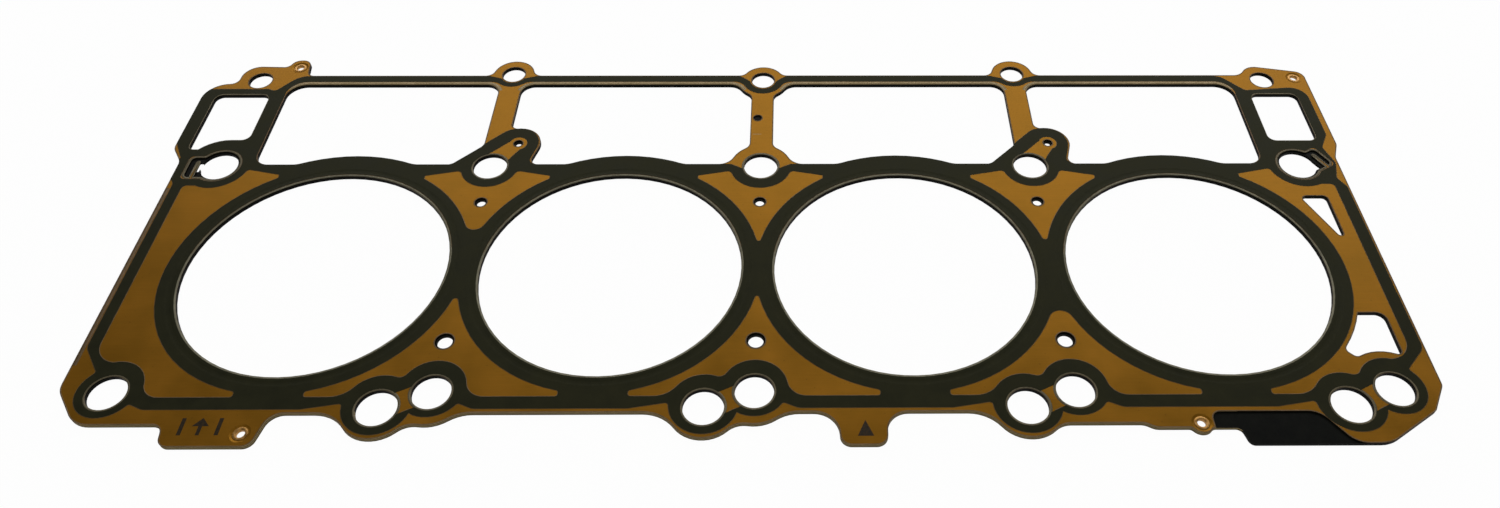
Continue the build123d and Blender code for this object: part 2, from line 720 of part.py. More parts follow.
# Parts of the upper sheet's face that the printed seal leaves bare
band_bottom = lower_edge_y + band_inset
band_top = band_bottom + band_width
print_top = rail_edge_y - rail_band_inset
print_rail = print_top - rail_band_width
print_ring = bore_radius + bore_print_width
bolt_print_y = lower_bolt_y + bolt_print_lift
corner_bolt_print_y = lower_bolt_y + corner_bolt_print_lift
return_print_y = return_hole_y + return_print_lift
left_band = left_column - end_band_left
right_band = right_column + end_band_right
bolt_print_top = bolt_print_y + bolt_print_radius
lower_tip_x = half_pitch - lower_tip_inset
lower_tip_y = -across(print_ring, lower_tip_inset)
upper_tip_x = half_pitch - upper_tip_inset
upper_tip_y = across(print_ring, upper_tip_inset)
upper_bare_y = upper_tip_y + upper_tip_width + upper_bare_slope
ring_cross_y = across(print_ring, half_pitch)
return_cross = (return_hole_shift + bolt_print_radius) / 2 - ring_notch_round
return_foot = return_hole_shift + across(return_print_radius, band_top - return_print_y)


def print_rings():
    """Keep the printed rings round the bores and the lower holes."""
    discs([(x, 0) for x in bores], print_ring, Mode.SUBTRACT)
    discs([(x, bolt_print_y) for x in columns], bolt_print_radius, Mode.SUBTRACT)
    returns = [(x - return_hole_shift, return_print_y) for x in columns[1:]]
    discs(returns, return_print_radius, Mode.SUBTRACT)


with BuildSketch() as lower_bare:
    for x in lobes:
        path_face([
            (x - lower_tip_x, band_top, 0),
            (x + lower_tip_x, band_top, 0),
            (x + lower_tip_x, band_top + lower_patch_rise, 0),
            (x, 0, 0),
            (x - lower_tip_x, band_top + lower_patch_rise, 0),
        ])
    print_rings()
    for x, tip in zip(lobes, lower_bare_tips):
        round_corners(lower_bare, [(x, -ring_cross_y)], tip)
    round_corners(lower_bare, [(x - return_foot, band_top) for x in lobes], return_foot_round)
    notches = [(x - return_cross, return_print_y + ring_notch_rise) for x in lobes]
    round_corners(lower_bare, notches, ring_notch_round)
    feet = [(x + bolt_print_radius, band_top) for x in lobes]
    round_corners(lower_bare, feet, patch_foot_round)
    for side in (-1, 1):
        for y in (band_top, lower_tip_y):
            tips = [(x + side * lower_tip_x, y) for x in lobes]
            round_corners(lower_bare, tips, lower_tip_round)

with BuildSketch() as upper_bare:
    for x in lobes:
        path_face([
            (x, 0, 0),
            (x + upper_tip_x, upper_tip_y - upper_tip_drop, 0),
            (x + upper_tip_x, upper_tip_y + upper_tip_width, 0),
            (x + upper_patch_half, upper_bare_y, 0),
            (x - upper_patch_half, upper_bare_y, 0),
            (x - upper_tip_x, upper_tip_y + upper_tip_width, 0),
            (x - upper_tip_x, upper_tip_y - upper_tip_drop, 0),
        ])
    discs([(x, 0) for x in bores], print_ring, Mode.SUBTRACT)
    discs([(x, upper_bolt_y) for x in bosses], upper_bolt_print_radius, Mode.SUBTRACT)
    discs([(middle, upper_bolt_y)], middle_bolt_print_radius, Mode.SUBTRACT)
    for x, tip in zip(lobes, upper_bare_tips):
        round_corners(upper_bare, [(x, ring_cross_y)], tip)
    for side in (-1, 1):
        for y in (upper_tip_y, upper_tip_y + upper_tip_width):
            round_corners(upper_bare, [(x + side * upper_tip_x, y) for x in lobes], bare_tip)
        shoulders = [(x + side * middle_bolt_print_radius, upper_bare_y) for x in lobes]
        round_corners(upper_bare, shoulders, shoulder_patch_round)

end_foot_y = bolt_print_top - end_patch_foot
end_head_y = dowel_y - dowel_print_radius + end_patch_head
end_inner_y = upper_bare_y + end_patch_lift
end_tip_x = right_column - upper_tip_x - end_tip_step
end_lap_x = right_column - end_patch_lap
end_shoulder_x = right_column - dowel_print_radius

with BuildSketch() as end_bare:
    for side, reach in ((-1, end_band_left), (1, end_band_right)):
        path_face([
            (side * (right_column + reach), end_foot_y, corner_patch_round),
            (side * (right_column + reach), end_head_y, end_patch_head_round),
            (side * right_column, end_head_y, 0),
            (side * right_column, end_inner_y, 0),
            (side * (end_shoulder_x + end_tip_step), end_inner_y, 0),
            (side * end_tip_x, upper_tip_y + end_tip_width, 0),
            (side * end_tip_x, 0, 0),
            (side * (right_column - lower_tip_x), 0, 0),
            (side * (right_column - lower_tip_x), band_top, 0),
            (side * end_lap_x, band_top, 0),
            (side * end_lap_x, end_foot_y, 0),
        ])
    print_rings()
    discs([(x, dowel_y) for x in (left_column, right_column)], dowel_print_radius, Mode.SUBTRACT)
    for side in (-1, 1):
        for tip_x, tip_y, tip in (
            (end_tip_x, upper_tip_y + end_patch_lift, bare_tip),
            (end_tip_x, upper_tip_y + end_tip_width, bare_tip),
            (right_column - lower_tip_x, band_top, lower_tip_round),
            (right_column - lower_tip_x, lower_tip_y, lower_tip_round),
            (end_shoulder_x, end_inner_y, end_patch_shoulder),
        ):
            round_corners(end_bare, [(side * tip_x, tip_y)], tip)
    round_corners(end_bare, [(left_column + bolt_print_radius, band_top)], patch_foot_round)
    round_corners(end_bare, [(right_column - return_foot, band_top)], return_foot_round)
    notch = (right_column - return_cross, return_print_y + ring_notch_rise)
    round_corners(end_bare, [notch], ring_notch_round)

with BuildSketch() as boss_bare:
    for x in bosses:
        left_foot, right_foot = [(x + dx, upper_bolt_y + dy, 0) for dx, dy in boss_patch_foot]
        head = [(x + dx, boss_y + dy, boss_patch_corner) for dx, dy in boss_patch_head]
        path_face([left_foot, *head, right_foot])
    discs([(x + boss_shift, boss_y) for x in bosses], boss_vent_ring)

with BuildSketch() as pair_bare:
    for x in columns[1:]:
        path_face([(x + dx, lower_bolt_y + dy, 0) for dx, dy in pair_patch])

# Wedges of bare face below the lower band, beside the bolt and return rings
neck_top = band_bottom + neck_rise
bolt_neck = across(bolt_print_radius, neck_top - bolt_print_y)
corner_neck = across(corner_bolt_print_radius, neck_top - corner_bolt_print_y)
return_neck = across(return_print_radius, neck_top - return_print_y)
bolt_necks = [(left_column + corner_neck, neck_top)] + [(x + bolt_neck, neck_top) for x in lobes]
return_necks = [(x - return_hole_shift - return_neck, neck_top) for x in columns[1:]]

with BuildSketch() as neck_bare:
    for necks, side, run in ((bolt_necks, 1, bolt_neck_run), (return_necks, -1, return_neck_run)):
        for x, y in necks:
            path_face([
                (x - side * neck_root, y, 0),
                (x, y, 0),
                (x + side * 2 * run, y - 2 * neck_rise, 0),
                (x - side * neck_root, y - 2 * neck_rise, 0),
            ])
    discs([(x, bolt_print_y) for x in lobes], bolt_print_radius, Mode.SUBTRACT)
    discs([(left_column, corner_bolt_print_y)], corner_bolt_print_radius, Mode.SUBTRACT)
    returns = [(x - return_hole_shift, return_print_y) for x in columns[1:]]
    discs(returns, return_print_radius, Mode.SUBTRACT)
    round_corners(neck_bare, bolt_necks + return_necks, neck_tip)

# Parts of the face outside the printed seal, round the valley windows and on the webs
with BuildSketch() as valley_bare:
    path_face([
        (window_left - window_margin, land_edge_y, window_corner),
        (window_right + window_margin, land_edge_y, window_corner),
        (window_right + window_margin, print_rail, window_end_corner),
        (window_left - window_margin, print_rail, window_end_corner),
    ])
    boss_shapes(Mode.SUBTRACT, -boss_rim)
    boss_feet = [(x - boss_rim + foot_x, land_edge_y) for x in bosses]
    round_corners(valley_bare, boss_feet, boss_foot_round)
    discs([(x, 0) for x in bores], land_radius, Mode.SUBTRACT)
    discs([(x, rail_bolts[x]) for x in bosses], rail_print_radius, Mode.SUBTRACT)
    discs([(middle, rail_bolts[middle])], middle_rail_print_radius, Mode.SUBTRACT)
    for x in lobes:
        radius = middle_rail_print_radius if x == middle else rail_print_radius
        foot = across(radius, rail_bolts[x] - print_rail)
        for side in (-1, 1):
            round_corners(valley_bare, [(x + side * foot, print_rail)], rail_ring_round)
    fan_foot_y = land_edge_y + middle_patch_lift
    fan_neck_x, fan_neck_drop = middle_patch_neck
    path_face([
        (middle - middle_patch_half, fan_foot_y, middle_patch_corner),
        (middle - fan_neck_x, upper_bolt_y - fan_neck_drop, 0),
        (middle + fan_neck_x, upper_bolt_y - fan_neck_drop, 0),
        (middle + middle_patch_half, fan_foot_y, middle_patch_corner),
        (middle + middle_patch_half, boss_y, 0),
        (middle - middle_patch_half, boss_y, 0),
    ])

# Outer line of the printed seal, anticlockwise from its lower left corner
left_line_x = left_band - end_band_left_width
right_line_x = right_band + end_band_right_width
corner_run, corner_rise = corner_print_run
right_head_x = right_band + right_print_line[-1][0]
left_head_x = left_end - left_shoulder - 1
left_head_y = coolant_top_y + left_print_top[-1][1]
seal_line = [
    (left_line_x, bolt_print_top + end_line_foot[-1], end_line_foot_round),
    (left_column - corner_run, lower_bolt_y + corner_rise, 0),
    (left_column + corner_run, band_bottom, 0),
    (right_column - corner_run, band_bottom, 0),
    (right_column + corner_run, lower_bolt_y + corner_rise, 0),
    (right_line_x, bolt_print_top + end_line_foot[1], end_line_foot_round),
    (right_line_x, dowel_y + right_print_foot[0], right_print_foot[1]),
]
seal_line += [(right_band + x, dowel_y + y, corner) for x, y, corner in right_print_line]
seal_line += [(right_head_x, coolant_top_y + right_print_head[0], right_print_head[1])]
seal_line += [(right_column + x, coolant_top_y + y, corner) for x, y, corner in right_print_top]
seal_line += [(right_column - rail_print_ends[1], print_top, rail_print_end_round)]
seal_line += [(left_column + rail_print_ends[-1], print_top, rail_print_end_round)]
seal_line += [(left_column + x, coolant_top_y + y, corner) for x, y, corner in left_print_top]
seal_line += [(left_head_x, left_head_y, 0), (left_head_x, dowel_y + left_print_head, 0)]
seal_line += [(left_end + x, dowel_y + y, corner) for x, y, corner in left_print_line]
seal_line += [(left_line_x, dowel_y + left_print_foot[0], left_print_foot[1])]

# Printed elastomer seal: closed bands round every passage
with BuildSketch(Plane.XY) as seal_shape:
    path_face(seal_line)
    discs([(x, bolt_print_y) for x in lobes], bolt_print_radius)
    ends = [(x, corner_bolt_print_y) for x in (left_column, right_column)]
    discs(ends, corner_bolt_print_radius)
    discs([(x - return_hole_shift, return_print_y) for x in columns[1:]], return_print_radius)
    add(outline.sketch, mode=Mode.INTERSECT)
    for side in (-1, 1):
        notch = (side * (right_column + end_notch[0]), lower_bolt_y + end_notch[1])
        round_corners(seal_shape, [notch], end_notch_round)
    for x, dip in zip(lobes, rail_dips):
        path_face([
            (x - rail_dip_top, rail_edge_y, 0),
            (x - rail_dip_top, print_top, 0),
            (x - rail_dip_foot, rail_bolts[x] - dip, 0),
            (x + rail_dip_foot, rail_bolts[x] - dip, 0),
            (x + rail_dip_top, print_top, 0),
            (x + rail_dip_top, rail_edge_y, 0),
        ], Mode.SUBTRACT)
    for bare in (lower_bare, upper_bare, end_bare, boss_bare, pair_bare, valley_bare, neck_bare):
        add(bare.sketch, mode=Mode.SUBTRACT)
    round_corners(seal_shape, [(x + bolt_neck_run, band_bottom) for x, y in bolt_necks], neck_foot)
    add(valley_windows.sketch, mode=Mode.SUBTRACT)
    add(bead_tracks.sketch, mode=Mode.SUBTRACT)
    offset(end_windows.sketch, amount=print_margin, mode=Mode.SUBTRACT)
    offset(coolant_windows.sketch, amount=window_rim, mode=Mode.SUBTRACT)
    add(coolant_windows.sketch.moved(Location((0, window_head))), mode=Mode.SUBTRACT)
    fixing_holes(print_margin)
    bore_rims = [(x, bore_print_shift) for x in bores]
    discs(bore_rims, bore_radius + bore_margin, Mode.SUBTRACT)
    vents(-2 * print_margin)
    for side in (-1, 1):
        dowel_opening(side, dowel_margin)
        round_corners(seal_shape, [slot_shoulder(side, dowel_margin)], slot_round)

with BuildPart() as seal_print:
    with BuildSketch(Plane.XY.offset(print_z)):
        add(seal_shape.sketch)
    extrude(amount=print_thickness)
    bead_rings(print_z, print_thickness, -bead_height, -print_dip)

os.makedirs("parts", exist_ok=True)

bottom_layer.part.label = "bottom_layer"
export_step(bottom_layer.part, "parts/bottom_layer.step")
spacer_layer.part.label = "spacer_layer"
export_step(spacer_layer.part, "parts/spacer_layer.step")
top_layer.part.label = "top_layer"
export_step(top_layer.part, "parts/top_layer.step")
seal_print.part.label = "seal_print"
export_step(seal_print.part, "parts/seal_print.step")
eyelet_front_left.part.label = "eyelet_front_left"
export_step(eyelet_front_left.part, "parts/eyelet_front_left.step")
eyelet_front_right.part.label = "eyelet_front_right"
export_step(eyelet_front_right.part, "parts/eyelet_front_right.step")
eyelet_rear_left.part.label = "eyelet_rear_left"
export_step(eyelet_rear_left.part, "parts/eyelet_rear_left.step")
eyelet_rear_right.part.label = "eyelet_rear_right"
export_step(eyelet_rear_right.part, "parts/eyelet_rear_right.step")
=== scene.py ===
"""Dresses the head gasket: coated steel sheets, a lacquered face, a printed seal and rivets."""
import bmesh
import bpy
import math
from mathutils import Matrix, Vector


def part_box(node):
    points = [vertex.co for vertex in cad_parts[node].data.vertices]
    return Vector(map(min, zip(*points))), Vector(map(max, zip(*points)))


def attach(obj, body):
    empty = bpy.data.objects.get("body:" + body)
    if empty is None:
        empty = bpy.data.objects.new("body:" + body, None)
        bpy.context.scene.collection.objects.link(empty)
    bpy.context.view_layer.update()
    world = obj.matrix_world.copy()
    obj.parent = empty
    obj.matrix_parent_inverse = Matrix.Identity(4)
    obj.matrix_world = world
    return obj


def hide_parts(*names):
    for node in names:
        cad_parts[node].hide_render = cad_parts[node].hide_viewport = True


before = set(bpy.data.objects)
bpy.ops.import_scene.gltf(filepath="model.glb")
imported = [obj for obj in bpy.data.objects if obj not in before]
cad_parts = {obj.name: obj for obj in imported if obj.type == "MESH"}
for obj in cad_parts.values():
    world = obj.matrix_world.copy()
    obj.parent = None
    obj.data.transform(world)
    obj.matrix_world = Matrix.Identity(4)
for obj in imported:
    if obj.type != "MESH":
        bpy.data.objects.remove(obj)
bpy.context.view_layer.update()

# Camera: stands over the front edge of the gasket and looks across it to the valley rail.
camera_place = Vector((0.014826, -0.271743, 0.321954))
camera_right = Vector((0.999962, -0.007081, 0.004996))
camera_up = Vector((0.00206, 0.754211, 0.656628))
camera_back = Vector((-0.008417, -0.656593, 0.754198))

camera_data = bpy.data.cameras.new("camera")
camera_data.sensor_fit = "HORIZONTAL"
camera_data.sensor_width = 36
camera_data.lens = 26.119
camera_data.shift_x = -0.03693
camera = bpy.data.objects.new("camera", camera_data)
bpy.context.scene.collection.objects.link(camera)
camera_turn = Matrix((camera_right, camera_up, camera_back)).transposed()
camera.matrix_world = Matrix.Translation(camera_place) @ camera_turn.to_4x4()
bpy.context.scene.camera = camera


# Table top: a plain white laminate sheet. The camera sees it almost pure white, and it
# keeps the thin soft shadow that the sheets throw.
table_size = 20.0
table_gap = 0.00004  # keeps the underside of the lower sheet clear of it
table_glow = 0.97  # how much of what the camera sees is plain white, without a shadow


def srgb(code):
    """A colour written as #RRGGBB, as linear red, green, blue and alpha."""
    parts = [int(code[k:k + 2], 16) / 255 for k in (1, 3, 5)]
    return [p / 12.92 if p <= 0.04045 else ((p + 0.055) / 1.055) ** 2.4 for p in parts] + [1.0]


def add_node(tree, kind, sockets=None, **settings):
    """Add a node, set its properties, and give each named socket a value or a link."""
    added = tree.nodes.new(kind)
    for name, value in settings.items():
        setattr(added, name, value)
    for name, value in (sockets or {}).items():
        if isinstance(value, bpy.types.NodeSocket):
            tree.links.new(value, added.inputs[name])
        else:
            added.inputs[name].default_value = value
    return added


def new_finish(name):
    """An empty material and its node tree."""
    material = bpy.data.materials.new(name)
    material.use_nodes = True
    material.node_tree.nodes.clear()
    return material, material.node_tree


table_finish, tree = new_finish("white_laminate")
diffuse = add_node(tree, "ShaderNodeBsdfDiffuse", {"Color": srgb("#F4F4F2"), "Roughness": 0.5})
glow = add_node(tree, "ShaderNodeEmission", {"Color": srgb("#FFFFFF"), "Strength": 1.0})
ray = add_node(tree, "ShaderNodeLightPath").outputs
seen = add_node(tree, "ShaderNodeMath", {0: ray["Is Camera Ray"], 1: ray["Is Glossy Ray"]},
                operation="MAXIMUM")
seen = add_node(tree, "ShaderNodeMath", {0: seen.outputs[0], 1: ray["Is Transmission Ray"]},
                operation="MAXIMUM")
share = add_node(tree, "ShaderNodeMath", {0: seen.outputs[0], 1: table_glow},
                 operation="MULTIPLY")
mixed = add_node(tree, "ShaderNodeMixShader", {0: share.outputs[0], 1: diffuse.outputs[0],
                 2: glow.outputs[0]})
add_node(tree, "ShaderNodeOutputMaterial", {"Surface": mixed.outputs[0]})

table_mesh = bpy.data.meshes.new("table")
half = table_size / 2
table_mesh.from_pydata(
    [(-half, -half, -table_gap), (half, -half, -table_gap), (half, half, -table_gap),
     (-half, half, -table_gap)], [], [(0, 1, 2, 3)])
table_mesh.materials.append(table_finish)
table = bpy.data.objects.new("table", table_mesh)
bpy.context.scene.collection.objects.link(table)

# Light: one wide soft box behind the rail, a weaker one over the front, and a dim white
# room. Each box gives its place, its width and height, and its watts.
soft_boxes = (
    ("back_soft_box", (0.08, 0.75, 0.52), (1.8, 0.5), 8.8),
    ("front_soft_box", (0.0, -0.7, 1.0), (1.2, 0.9), 4.4),
)
room_strength = 0.15

for name, place, size, watts in soft_boxes:
    lamp_data = bpy.data.lights.new(name, "AREA")
    lamp_data.shape = "RECTANGLE"
    lamp_data.size, lamp_data.size_y = size
    lamp_data.energy = watts
    lamp = bpy.data.objects.new(name, lamp_data)
    lamp.location = place
    lamp.rotation_euler = (-Vector(place)).to_track_quat("-Z", "Y").to_euler()
    bpy.context.scene.collection.objects.link(lamp)

room = bpy.data.worlds.new("room")
room.use_nodes = True
room.node_tree.nodes["Background"].inputs["Color"].default_value = srgb("#FFFFFF")
room.node_tree.nodes["Background"].inputs["Strength"].default_value = room_strength
bpy.context.scene.world = room
bpy.context.scene.view_settings.view_transform = "Standard"


# Lower sheet and spacer: stainless spring steel and plain steel, both rolled in a thin
# black fluoro-rubber coat. It is cured dull and green-black, and the press that cuts the
# sheets out leaves the front edges bare.
mottle_mm = 4.0
coat_grain_mm = 0.5  # the real grain is under 0.1 mm, drawn coarser so that it shows
front_cut_y = -0.0645  # edges in front of this are bare
layer_tab_x = 0.168  # and black again to the right of this, round the stepped tab
lying_flat = 0.5  # a face lies flat if its normal rises or falls by more than this
coat_dark = srgb("#060705")
coat_light = srgb("#0C0D09")
lower_cut_steel = srgb("#8C7C59")


def bare_cut(tree, place):
    """One on the upright edges that were cut after coating, and zero everywhere else."""
    facing = add_node(tree, "ShaderNodeSeparateXYZ", {"Vector": place.outputs["Normal"]})
    where = add_node(tree, "ShaderNodeSeparateXYZ", {"Vector": place.outputs["Object"]})
    tilt = add_node(tree, "ShaderNodeMath", {0: facing.outputs["Z"]}, operation="ABSOLUTE")
    upright = add_node(tree, "ShaderNodeMath", {0: tilt.outputs[0], 1: lying_flat},
                       operation="LESS_THAN")
    front = add_node(tree, "ShaderNodeMath", {0: where.outputs["Y"], 1: front_cut_y},
                     operation="LESS_THAN")
    beside = add_node(tree, "ShaderNodeMath", {0: where.outputs["X"], 1: layer_tab_x},
                      operation="LESS_THAN")
    front = add_node(tree, "ShaderNodeMath", {0: front.outputs[0], 1: beside.outputs[0]},
                     operation="MULTIPLY")
    return add_node(tree, "ShaderNodeMath", {0: front.outputs[0], 1: upright.outputs[0]},
                    operation="MULTIPLY").outputs[0]


black_coat, tree = new_finish("black_rubber_coat_on_steel")
place = add_node(tree, "ShaderNodeTexCoord")
mottle = add_node(tree, "ShaderNodeTexNoise", {"Vector": place.outputs["Object"],
                  "Scale": 1000 / mottle_mm, "Detail": 3.0, "Roughness": 0.6})
grain = add_node(tree, "ShaderNodeTexNoise", {"Vector": place.outputs["Object"],
                 "Scale": 1000 / coat_grain_mm, "Detail": 2.0})
tone = add_node(tree, "ShaderNodeValToRGB", {"Fac": mottle.outputs["Fac"]})
tone.color_ramp.elements[0].position = 0.35
tone.color_ramp.elements[0].color = coat_dark
tone.color_ramp.elements[1].position = 0.68
tone.color_ramp.elements[1].color = coat_light
# Sockets 0, 6 and 7 of a colour Mix are its factor and its two colours.
cut = add_node(tree, "ShaderNodeMix", {0: bare_cut(tree, place), 6: tone.outputs["Color"],
               7: lower_cut_steel}, data_type="RGBA")
dull = add_node(tree, "ShaderNodeMapRange", {"Value": grain.outputs["Fac"], "From Min": 0.3,
                "From Max": 0.7, "To Min": 0.5, "To Max": 0.66})
bump = add_node(tree, "ShaderNodeBump", {"Height": grain.outputs["Fac"], "Strength": 0.12,
                "Distance": 0.00005})
skin = add_node(tree, "ShaderNodeBsdfPrincipled", {
    "Base Color": cut.outputs[2], "Roughness": dull.outputs["Result"],
    "Normal": bump.outputs["Normal"], "IOR": 1.42, "Specular IOR Level": 0.07})
add_node(tree, "ShaderNodeOutputMaterial", {"Surface": skin.outputs[0]})

for name in ("bottom_layer", "spacer_layer"):
    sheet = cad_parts[name]
    sheet.data.materials.clear()
    sheet.data.materials.append(black_coat)


# Upper sheet: stainless spring steel with a gold resin lacquer rolled on its upper face.
# The lacquer is clear enough to let the rolled strip show, and clouds a little where it
# lies thicker. The underside and the cut edges are black, but for the bare front ones.
cloud_mm = 22.0
roll_length_mm = 14.0
roll_width_mm = 0.45
peel_mm = 1.1
speck_mm = 0.9
amber_dark = srgb("#765113")
amber_light = srgb("#875C19")
amber_sheen = srgb("#DDB670")
speck_brown = srgb("#3A2A12")
upper_cut_steel = srgb("#9C8A63")

gold_lacquer, tree = new_finish("gold_lacquer_on_rolled_steel")
place = add_node(tree, "ShaderNodeTexCoord")
cloud = add_node(tree, "ShaderNodeTexNoise", {"Vector": place.outputs["Object"],
                 "Scale": 1000 / cloud_mm, "Detail": 3.0, "Roughness": 0.55})
rolled = add_node(tree, "ShaderNodeMapping", {
    "Vector": place.outputs["Object"],
    "Scale": (1000 / roll_length_mm, 1000 / roll_width_mm, 1000 / roll_length_mm)})
roll = add_node(tree, "ShaderNodeTexNoise", {"Vector": rolled.outputs[0], "Scale": 1.0,
                "Detail": 2.0})
peel = add_node(tree, "ShaderNodeTexNoise", {"Vector": place.outputs["Object"],
                "Scale": 1000 / peel_mm, "Detail": 1.0})
speck = add_node(tree, "ShaderNodeTexNoise", {"Vector": place.outputs["Object"],
                 "Scale": 1000 / speck_mm, "Detail": 0.0})
amber = add_node(tree, "ShaderNodeValToRGB", {"Fac": cloud.outputs["Fac"]})
amber.color_ramp.elements[0].position = 0.3
amber.color_ramp.elements[0].color = amber_dark
amber.color_ramp.elements[1].position = 0.7
amber.color_ramp.elements[1].color = amber_light
streak = add_node(tree, "ShaderNodeMapRange", {"Value": roll.outputs["Fac"], "From Min": 0.3,
                  "From Max": 0.7, "To Min": 0.96, "To Max": 1.035})
streaked = add_node(tree, "ShaderNodeVectorMath", {
    0: amber.outputs["Color"], "Scale": streak.outputs["Result"]}, operation="SCALE")
dark_speck = add_node(tree, "ShaderNodeMapRange", {"Value": speck.outputs["Fac"],
                      "From Min": 0.78, "From Max": 0.84, "To Min": 0.0, "To Max": 0.3})
specked = add_node(tree, "ShaderNodeMix", {0: dark_speck.outputs["Result"],
                   6: streaked.outputs["Vector"], 7: speck_brown}, data_type="RGBA")
facing = add_node(tree, "ShaderNodeSeparateXYZ", {"Vector": place.outputs["Normal"]})
upper_face = add_node(tree, "ShaderNodeMath", {0: facing.outputs["Z"], 1: lying_flat},
                      operation="GREATER_THAN")
coated = add_node(tree, "ShaderNodeMix", {0: upper_face.outputs[0], 6: coat_light,
                  7: specked.outputs[2]}, data_type="RGBA")
cut = add_node(tree, "ShaderNodeMix", {0: bare_cut(tree, place), 6: coated.outputs[2],
               7: upper_cut_steel}, data_type="RGBA")
shine = add_node(tree, "ShaderNodeMapRange", {"Value": cloud.outputs["Fac"], "From Min": 0.3,
                 "From Max": 0.7, "To Min": 0.34, "To Max": 0.42})
bump = add_node(tree, "ShaderNodeBump", {"Height": peel.outputs["Fac"], "Strength": 0.1,
                "Distance": 0.00008})
skin = add_node(tree, "ShaderNodeBsdfPrincipled", {
    "Base Color": cut.outputs[2], "Roughness": shine.outputs["Result"],
    "Normal": bump.outputs["Normal"], "Metallic": 0.45, "Specular IOR Level": 0.1,
    "Specular Tint": amber_sheen})
add_node(tree, "ShaderNodeOutputMaterial", {"Surface": skin.outputs[0]})

upper_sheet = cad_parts["top_layer"]
upper_sheet.data.materials.clear()
upper_sheet.data.materials.append(gold_lacquer)


# Bare rims: the lacquer stops short of the cut edges. Steel shows in a half dull ring round
# the bores and in narrower, browner ones round the large holes and coolant windows. Lacquer
# washed thin leaves a paler strip along the rail, and a brown edge everywhere else.
bore_rim_width = 0.00135
hole_rim_width = 0.0010
window_rim_width = 0.00085
edge_rim_width = 0.00045
rail_strip_width = 0.0019
end_strip_width = 0.0017
rim_height = 0.00001
low_rim_height = rim_height / 2
stain_mm = 6.0
scuff_mm = 2.0

# What tells the kinds of edge apart.
bore_least_width = 0.08
round_within = 0.001
hole_widths = (0.012, 0.023)
hole_most_depth = 0.018
hole_row_y = 0.045  # the large holes lie further than this from the line of the bores
window_most_width = 0.03
window_least_depth = 0.025

# Where the strips lie along the rail and down the left end.
strip_step = 0.002
rail_top_y = 0.112  # every opening but the rail's bolt holes ends below this
rail_strip_y = 0.104
rail_strip_least = 0.05
end_strip_x = -0.2434
end_strip_y = 0.045

merged_within = 0.000002  # corners of loose triangles that lie this close are one point
level_within = 0.00001  # an edge of the flat upper face keeps this close to its height


def bare_finish(name, dark, light):
    """Plain steel with what is left on it, between a dark and a light colour."""
    material, tree = new_finish(name)
    place = add_node(tree, "ShaderNodeTexCoord")
    stain = add_node(tree, "ShaderNodeTexNoise", {"Vector": place.outputs["Object"],
                     "Scale": 1000 / stain_mm, "Detail": 3.0})
    scuff = add_node(tree, "ShaderNodeTexNoise", {"Vector": place.outputs["Object"],
                     "Scale": 1000 / scuff_mm, "Detail": 2.0})
    tone = add_node(tree, "ShaderNodeValToRGB", {"Fac": stain.outputs["Fac"]})
    tone.color_ramp.elements[0].position = 0.32
    tone.color_ramp.elements[0].color = srgb(dark)
    tone.color_ramp.elements[1].position = 0.7
    tone.color_ramp.elements[1].color = srgb(light)
    rubbed = add_node(tree, "ShaderNodeMapRange", {"Value": scuff.outputs["Fac"],
                      "From Min": 0.3, "From Max": 0.7, "To Min": 0.48, "To Max": 0.6})
    bump = add_node(tree, "ShaderNodeBump", {"Height": scuff.outputs["Fac"],
                    "Strength": 0.05, "Distance": 0.00003})
    skin = add_node(tree, "ShaderNodeBsdfPrincipled", {
        "Base Color": tone.outputs["Color"], "Metallic": 0.2, "Specular IOR Level": 0.2,
        "Roughness": rubbed.outputs["Result"], "Normal": bump.outputs["Normal"]})
    add_node(tree, "ShaderNodeOutputMaterial", {"Surface": skin.outputs[0]})
    return material


oiled_steel = bare_finish("oiled_bare_steel", "#5F5B49", "#74705C")
wiped_steel = bare_finish("wiped_bare_steel", "#544D3A", "#696049")
washed_steel = bare_finish("lacquer_washed_steel", "#85734F", "#958260")
thin_lacquer = bare_finish("thinned_lacquer_on_steel", "#5A472C", "#6B553A")


def skin_loops(name):
    """The closed edges of a sheet's upper skin, in order, with the sheet on their left."""
    skin_mesh = bmesh.new()
    skin_mesh.from_mesh(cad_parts[name].data)
    bmesh.ops.remove_doubles(skin_mesh, verts=skin_mesh.verts, dist=merged_within)
    skin_mesh.normal_update()
    following = {}
    for face in skin_mesh.faces:
        for corner in face.loops:
            upward = [other.normal.z > lying_flat for other in corner.edge.link_faces]
            if face.normal.z > lying_flat and sum(upward) == 1:
                following[corner.vert] = corner.link_loop_next.vert
    loops = []
    while following:
        start, here = following.popitem()
        loop = [start.co.copy()]
        while here is not start:
            loop.append(here.co.copy())
            here = following.pop(here)
        loops.append(loop)
    skin_mesh.free()
    return loops


